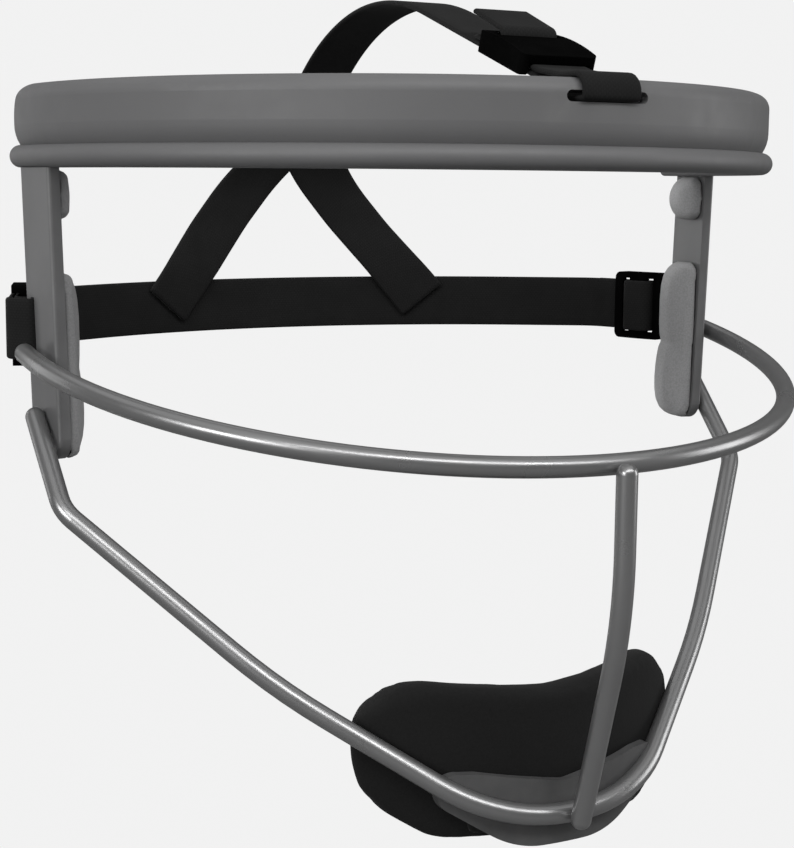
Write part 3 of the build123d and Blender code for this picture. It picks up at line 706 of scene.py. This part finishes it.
def rounded_path(points, rounds, spacing=1.0):
    """Places along straight runs joined by arcs, a few to each bend, in a plane."""
    path = [Vector(points[0])]
    for before, corner, after, radius in zip(points, points[1:], points[2:], rounds):
        corner = Vector(corner)
        back = (Vector(before) - corner).normalized()
        on = (Vector(after) - corner).normalized()
        half_angle = back.angle(on) / 2
        reach = radius / math.tan(half_angle)
        start = corner + back * reach
        end = corner + on * reach
        centre = corner + (back + on).normalized() * (radius / math.sin(half_angle))
        turn = math.pi - 2 * half_angle
        steps = max(fewest_arc_steps, int(radius * turn / spacing))
        first = start - centre
        last = end - centre
        for step in range(steps + 1):
            share = step / steps
            mix = first * math.sin((1 - share) * turn) + last * math.sin(share * turn)
            path.append(centre + mix / math.sin(turn))
    path.append(Vector(points[-1]))
    filled = [path[0]]
    for point in path[1:]:
        parts = max(1, int((point - filled[-1]).length / spacing))
        for left in range(parts, 0, -1):
            filled.append(filled[-1].lerp(point, 1 / left))
    return filled


def strap_rows(path, place_of, across):
    """Rows of a strap whose middle follows a flat path. place_of turns a place in the path's
    plane into one in the guard, and across is the direction of its width."""
    rows = []
    for index, point in enumerate(path):
        before = path[max(0, index - 1)]
        after = path[min(len(path) - 1, index + 1)]
        run = (place_of(after) - place_of(before)).normalized()
        out = run.cross(across).normalized()
        middle = place_of(point)
        rows.append(
            [(middle + across * (s * webbing_width / 2), out) for s in across_shares]
        )
    return rows


weave_group, weave_in, weave_out = new_group(
    "strap_weave",
    [
        ("Colour", "Color", (0.01, 0.01, 0.01, 1)),
        ("Rib", "Float", 0.9),
        ("Yarn", "Float", 0.75),
    ],
    [("Colour", "Color"), ("Height", "Float")],
)
weave_spot = add_node(weave_group, "ShaderNodeUVMap", uv_map="weave").outputs["UV"]
weave_split = add_node(weave_group, "ShaderNodeSeparateXYZ")
weave_group.links.new(weave_spot, weave_split.inputs[0])
yarn_count = math_node(
    weave_group, "DIVIDE", weave_split.outputs["Y"], weave_in.outputs["Yarn"]
)
yarn_column = math_node(weave_group, "FLOOR", yarn_count)
yarn_shift = math_node(weave_group, "MULTIPLY", yarn_column, 0.5)
rib_count = math_node(
    weave_group, "DIVIDE", weave_split.outputs["X"], weave_in.outputs["Rib"]
)
rib_phase = math_node(weave_group, "FRACT", math_node(weave_group, "ADD", rib_count, yarn_shift))
rib_hump = math_node(weave_group, "SINE", math_node(weave_group, "MULTIPLY", rib_phase, math.pi))
yarn_phase = math_node(weave_group, "FRACT", yarn_count)
yarn_hump = math_node(
    weave_group, "SINE", math_node(weave_group, "MULTIPLY", yarn_phase, math.pi)
)
weave_height = math_node(weave_group, "MULTIPLY", rib_hump, yarn_hump)
weave_place = add_node(weave_group, "ShaderNodeTexCoord").outputs["Object"]
weave_cloud = noise(weave_group, weave_place, scale=120.0, detail=3.0)
# Painted shade: the hollows between the yarns are darkened by the weave's height; the slow cloud
# on top is random tone
yarn_gap_shade = line_node(weave_group, weave_height, gain=0.3, offset=0.8)
cloud_gain = line_node(weave_group, weave_cloud.outputs["Fac"], gain=0.4, offset=0.8)
weave_tone = math_node(weave_group, "MULTIPLY", yarn_gap_shade, cloud_gain)
weave_tint = tint(weave_group, weave_in.outputs["Colour"], weave_tone)
weave_group.links.new(weave_tint, weave_out.inputs["Colour"])
weave_group.links.new(weave_height, weave_out.inputs["Height"])

webbing, webbing_surface = shader("webbing")
weave = put_group(webbing, weave_group, Colour=(0.016, 0.016, 0.016, 1), Rib=0.9, Yarn=0.65)
webbing.node_tree.links.new(weave.outputs["Colour"], webbing_surface.inputs["Base Color"])
webbing_surface.inputs["Roughness"].default_value = 0.85
webbing_surface.inputs["Sheen Weight"].default_value = 0.02
webbing_surface.inputs["Specular IOR Level"].default_value = 0.05
put_bump(webbing, webbing_surface, weave.outputs["Height"], strength=0.3, distance=0.05)

# Rear strap, seen from above: the back of the head, the straight runs under the buckles, and
# the turn through each arm's slot
layer_pitch = 1.4
running_gap = 0.3
back_radius = 140.0
back_y = 79.15
run_front = Vector((99.3, 22.0))
run_length = 28.5
run_corner_round = 10.0
run_turn_back = 3.0
run_turn_round = 3.0
inner_turn_behind = 1.5
slot_turn_round = 1.1
bulge = Vector((103.1, 18.3))
bulge_round = 3.8
outer_turn_back = 1.5
loop_tail = 27.0
arm_width = 16.0
arm_slot_behind = 2.8
arm_slot_width = 2.1
apex_rounds = 60
run_angle = math.radians(18.0)
run_back = Vector((-math.sin(run_angle), math.cos(run_angle)))
run_out = Vector((math.cos(run_angle), math.sin(run_angle)))
run_corner = run_front + run_back * run_length
arm_out = Vector((math.cos(arm_yaw), -math.sin(arm_yaw)))
arm_back = Vector((math.sin(arm_yaw), math.cos(arm_yaw)))
slot_centre = arm_width - arm_slot_behind - arm_slot_width / 2
slot_face = (
    Vector((arm_front.x, 0))
    + arm_back * slot_centre
    + arm_out * (math.sin(arm_lean) * strap_middle)
)
wrap = running_gap + webbing_thickness / 2
inner_turn = slot_face - arm_out * (arm_thickness + wrap)
behind_bar = arm_width - slot_centre + inner_turn_behind
# Where the back arc's two tangents meet, found by steps from the back of the strap
back_apex_y = back_y
for _ in range(apex_rounds):
    half_turn = math.atan2(back_apex_y - run_corner.y, run_corner.x)
    back_apex_y = back_y + back_radius * (1 / math.cos(half_turn) - 1)
right_half = [
    run_corner,
    run_front - run_back * run_turn_back,
    inner_turn + arm_back * behind_bar,
    inner_turn,
    slot_face + arm_out * wrap,
    bulge,
    run_front + run_out * layer_pitch - run_back * outer_turn_back,
    run_front + run_out * layer_pitch + run_back * loop_tail,
]
left_half = [Vector((-p.x, p.y)) for p in reversed(right_half)]
half_rounds = (
    run_corner_round,
    run_turn_round,
    run_turn_round,
    slot_turn_round,
    slot_turn_round,
    bulge_round,
    run_turn_round,
)
rear_points = [*left_half, Vector((0, back_apex_y)), *right_half]
rear_rounds = (*reversed(half_rounds), back_radius, *half_rounds)
rear_path = rounded_path(rear_points, rear_rounds)
rear_webbing = webbing_mesh(
    "rear_webbing",
    strap_rows(rear_path, lambda p: Vector((p.x, p.y, strap_middle)), Vector((0, 0, 1))),
)
finish_piece(rear_webbing, webbing, "webbing", "guard", "rear_strap")

# Strap legs: two straps sewn inside the rear strap's back, leaning together up to the top
# strap and curving forward with the head
leg_splay = math.radians(39.5)
leg_apex_z = 9.5
leg_length = 65.5
leg_y = back_y - layer_pitch
leg_swell = 3.0
leg_swell_start_z = -31.5
leg_swell_full_z = -18.0
leg_swell_round = 20.0
leg_bend_y = leg_y + leg_swell
leg_bend_z = -4.1
leg_bend_round = 16.0
leg_pitch = math.radians(46.0)
leg_foot_z = -52.0
leg_head_z = 17.0
leg_path_over = 1.0
leg_head_y = leg_bend_y - (leg_head_z - leg_bend_z) / math.tan(leg_pitch)
head_axis_y = back_y - back_radius
leg_steps = 60
nudge = 0.05
leg_points = [
    Vector((leg_y, leg_foot_z)),
    Vector((leg_y, leg_swell_start_z)),
    Vector((leg_bend_y, leg_swell_full_z)),
    Vector((leg_bend_y, leg_bend_z)),
    Vector((leg_head_y, leg_head_z + leg_path_over)),
]
leg_rounds = (leg_swell_round, leg_swell_round, leg_bend_round)
leg_path = rounded_path(leg_points, leg_rounds, spacing=0.5)


def leg_depth(height):
    """How far back the legs' sheet stands from the head's upright axis at this height."""
    for below, above in zip(leg_path, leg_path[1:]):
        if above.y >= height:
            share = (height - below.y) / (above.y - below.y)
            return below.lerp(above, share).x - head_axis_y
    return leg_path[-1].x - head_axis_y


def leg_point(x, height):
    """The place on the legs' sheet at this x and height."""
    depth = leg_depth(height)
    return Vector((x, head_axis_y + math.sqrt(depth**2 - x**2), height))


for side, name in ((-1, "left"), (1, "right")):
    leg_rows = []
    for step in range(leg_steps + 1):
        row = []
        for share in across_shares:
            off = share * webbing_width / 2
            foot_x = leg_length * math.sin(leg_splay) + off * math.cos(leg_splay)
            foot_z = leg_apex_z - leg_length * math.cos(leg_splay) + off * math.sin(leg_splay)
            to_middle = foot_x / math.sin(leg_splay)
            to_head = (leg_head_z - foot_z) / math.cos(leg_splay)
            length = min(to_middle, to_head)
            climb = length * step / leg_steps
            x = foot_x - climb * math.sin(leg_splay)
            z = foot_z + climb * math.cos(leg_splay)
            here = leg_point(x, z)
            along_x = leg_point(x + nudge, z) - here
            along_z = leg_point(x, z + nudge) - here
            out = along_z.cross(along_x).normalized()
            row.append([Vector((v.x * side, v.y, v.z)) for v in (here, out)])
        leg_rows.append(row)
    leg = webbing_mesh(f"{name}_leg_webbing", leg_rows)
    finish_piece(leg, webbing, "webbing", "guard", f"{name}_strap_leg")

# Top strap, seen from the side: up from the legs over the crown, down to the band, in
# through its slot and back over its top edge, doubled on itself under the buckle
top_pitch = math.radians(19.0)
top_slope = math.tan(top_pitch)
leg_slope = math.tan(leg_pitch)
top_run_y = -48.0
top_run_z = 25.2
top_run_front_y = -68.5
crown_round = 75.0
strap_slot_z = 13.1
slot_sag = 0.42
slot_inside_y = -74.2
slot_turn_y = -87.9
slot_inner_round = 2.0
slot_lip_round = 0.8
lift_on_legs = layer_pitch / math.cos(leg_pitch)
lift_on_run = layer_pitch / math.cos(top_pitch)
crown_rise = leg_bend_z + leg_slope * leg_bend_y + lift_on_legs - top_run_z
crown_y = (crown_rise + top_slope * top_run_y) / (leg_slope + top_slope)
top_buckle_y = -57.6
top_layer_end = 16.0
top_strap_end_z = 3.0
band_over_z = 17.95
band_over_rear_y = -78.0
band_over_round = 3.9
band_over_blend = 6.0


def on_top_run(y, lift):
    """The place on the top strap's straight run at this y, this far above its middle."""
    return Vector((y, top_run_z + top_slope * (y - top_run_y) + lift))


strap_end_y = leg_bend_y - (top_strap_end_z - leg_bend_z - lift_on_legs) / leg_slope
blend_y = top_run_y + (band_over_z + layer_pitch - top_run_z - lift_on_run) / top_slope
top_points = [
    Vector((strap_end_y, top_strap_end_z)),
    on_top_run(crown_y, 0),
    on_top_run(top_run_front_y, 0),
    Vector((slot_inside_y, strap_slot_z - slot_sag)),
    Vector((slot_turn_y, strap_slot_z - slot_sag)),
    Vector((slot_turn_y, band_over_z)),
    Vector((band_over_rear_y, band_over_z)),
    on_top_run(blend_y, lift_on_run),
    on_top_run(top_buckle_y + top_layer_end * math.cos(top_pitch), lift_on_run),
]
top_rounds = (
    crown_round,
    run_turn_round,
    slot_inner_round,
    slot_lip_round,
    band_over_round,
    band_over_blend,
    band_over_blend,
)
top_path = rounded_path(top_points, top_rounds)
top_webbing = webbing_mesh(
    "top_webbing",
    strap_rows(top_path, lambda p: Vector((0, p.x, p.y)), Vector((1, 0, 0))),
)
finish_piece(top_webbing, webbing, "webbing", "guard", "top_strap")

# Slide buckles: black moulded plastic with a fine spark grain. The strap's free tail comes
# up behind the top one, and a turn of webbing goes over the middle bar of each side one.
buckle_plastic = satin_material(
    "buckle_plastic",
    colour=(0.0012, 0.0012, 0.0012),
    worn_colour=(0.004, 0.004, 0.004),
    grain_scale=2400.0,
    mottle=0.1,
    roughness=0.5,
    grain_depth=0.02,
)
buckle_plastic.node_tree.nodes["Principled BSDF"].inputs["IOR"].default_value = 1.02
for buckle in ("top_buckle", "left_buckle", "right_buckle"):
    dress(buckle, buckle_plastic)

stack = (layer_pitch + webbing_thickness / 2) / math.cos(top_pitch)
top_origin = Vector((0, *on_top_run(top_buckle_y, stack)))
top_along = Vector((0, math.cos(top_pitch), math.sin(top_pitch)))
top_out = Vector((0, -math.sin(top_pitch), math.cos(top_pitch)))
top_buckle_length = 21.0
top_window_near_share = 0.3
top_window_far_share = 0.56
tail_foot = 1.1
tail_rise = 3.8
tail_rise_round = 1.6
tail_end_s = 18.5
tail_end = 4.5
tail_s = (top_window_near_share + top_window_far_share) * top_buckle_length / 4
tail_points = [
    Vector((tail_s, tail_foot)),
    Vector((tail_s, tail_rise)),
    Vector((tail_end_s, tail_end)),
]
tail_path = rounded_path(tail_points, (tail_rise_round,), spacing=0.4)
tail = webbing_mesh(
    "top_tail_webbing",
    strap_rows(
        tail_path, lambda p: top_origin + top_along * p.x + top_out * p.y, Vector((1, 0, 0))
    ),
)
finish_piece(tail, webbing, "webbing", "top_slider", "top_strap_tail")

side_buckle_length = 17.5
side_buckle_front = 0.6
side_window_near_share = 0.34
side_window_far_share = 0.64
bar_turn_foot = 0.2
bar_turn_height = 3.7
bar_turn_round = 1.5
buckle_middle = run_front + run_back * (side_buckle_front + side_buckle_length / 2)
side_surface = buckle_middle - run_out * (webbing_thickness / 2)
turn_s = (side_window_near_share + side_window_far_share) * side_buckle_length / 4
turn_points = [
    Vector((-turn_s, bar_turn_foot)),
    Vector((-turn_s, bar_turn_height)),
    Vector((turn_s, bar_turn_height)),
    Vector((turn_s, bar_turn_foot)),
]
turn_path = rounded_path(turn_points, (bar_turn_round, bar_turn_round), spacing=0.5)
for side, name in ((-1, "left"), (1, "right")):
    origin = Vector((side_surface.x * side, side_surface.y, strap_middle))
    along = Vector((run_back.x * side, run_back.y, 0))
    inward = Vector((-run_out.x * side, -run_out.y, 0))
    turn = webbing_mesh(
        f"{name}_turn_webbing",
        strap_rows(turn_path, lambda p: origin + along * p.x + inward * p.y, Vector((0, 0, 1))),
    )
    finish_piece(turn, webbing, "webbing", f"{name}_slider", f"{name}_bar_turn")

# Studio: a pale floor that curves up into the walls all round, seen evenly lit, and soft
# lights over it. The guard hangs as it is worn, so the floor lies well under the chin.
floor_z = -230.0 * MM
floor_radius = 1.3
wall_round = 0.5
wall_top = 1.6
curve_steps = 12
turns = 64
profile = [(0.0, floor_z), (floor_radius, floor_z)]
for step in range(1, curve_steps + 1):
    angle = math.pi / 2 * step / curve_steps
    profile.append(
        (
            floor_radius + wall_round * math.sin(angle),
            floor_z + wall_round * (1 - math.cos(angle)),
        )
    )
profile.append((floor_radius + wall_round, wall_top))
floor_places = []
floor_faces = []
for radius, height in profile:
    for step in range(turns):
        angle = 2 * math.pi * step / turns
        floor_places.append((radius * math.cos(angle), radius * math.sin(angle), height))
for ring in range(len(profile) - 1):
    for step in range(turns):
        a = ring * turns + step
        b = ring * turns + (step + 1) % turns
        floor_faces.append((a, b, b + turns, a + turns))
floor_mesh = bpy.data.meshes.new("floor")
floor_mesh.from_pydata(floor_places, [], floor_faces)
floor = put_in_scene("floor", floor_mesh)
shade_smooth(floor)
floor_paint = bpy.data.materials.new("floor_paint")
floor_paint.use_nodes = True
floor_tree = floor_paint.node_tree
floor_tree.nodes.remove(floor_tree.nodes["Principled BSDF"])
seen = add_node(floor_tree, "ShaderNodeEmission")
seen.inputs["Color"].default_value = (0.885, 0.885, 0.885, 1)
matt = add_node(floor_tree, "ShaderNodeBsdfDiffuse")
matt.inputs["Color"].default_value = (0.2, 0.2, 0.2, 1)
lit_or_seen = add_node(floor_tree, "ShaderNodeMixShader")
path = add_node(floor_tree, "ShaderNodeLightPath")
floor_tree.links.new(path.outputs["Is Camera Ray"], lit_or_seen.inputs[0])
floor_tree.links.new(matt.outputs[0], lit_or_seen.inputs[1])
floor_tree.links.new(seen.outputs[0], lit_or_seen.inputs[2])
floor_tree.links.new(
    lit_or_seen.outputs[0], floor_tree.nodes["Material Output"].inputs["Surface"]
)
floor.data.materials.append(floor_paint)

bpy.context.scene.view_settings.view_transform = "Standard"
world = bpy.data.worlds.new("studio")
bpy.context.scene.world = world
world.use_nodes = True
sky = world.node_tree.nodes["Background"]
sky.inputs["Color"].default_value = (1, 1, 1, 1)
sky.inputs["Strength"].default_value = 0.6
light_aim = Vector((0, 0, -0.05))


def soft_light(name, place, width, height, power):
    """A soft light of this width and height at a place, aimed at the guard, in metres and
    watts."""
    data = bpy.data.lights.new(name, "AREA")
    data.shape = "RECTANGLE"
    data.size = width
    data.size_y = height
    data.energy = power
    light = put_in_scene(name, data)
    light.location = place
    towards = light_aim - Vector(place)
    light.rotation_euler = towards.to_track_quat("-Z", "Y").to_euler()
    return light


soft_light("front_strip", (-0.1, -0.95, 0.85), width=1.9, height=0.25, power=12.0)
soft_light("right_panel", (1.25, -0.45, 0.0), width=0.5, height=0.9, power=5.5)
soft_light("left_panel", (-1.5, -0.6, 0.42), width=0.8, height=0.5, power=12.0)
soft_light("behind_left", (-0.8, 0.85, 0.1), width=0.4, height=0.9, power=1.2)
inside_fill = soft_light("inside_fill", (-0.3, 1.1, -0.05), width=0.4, height=0.9, power=15.0)
inside_fill.visible_glossy = False
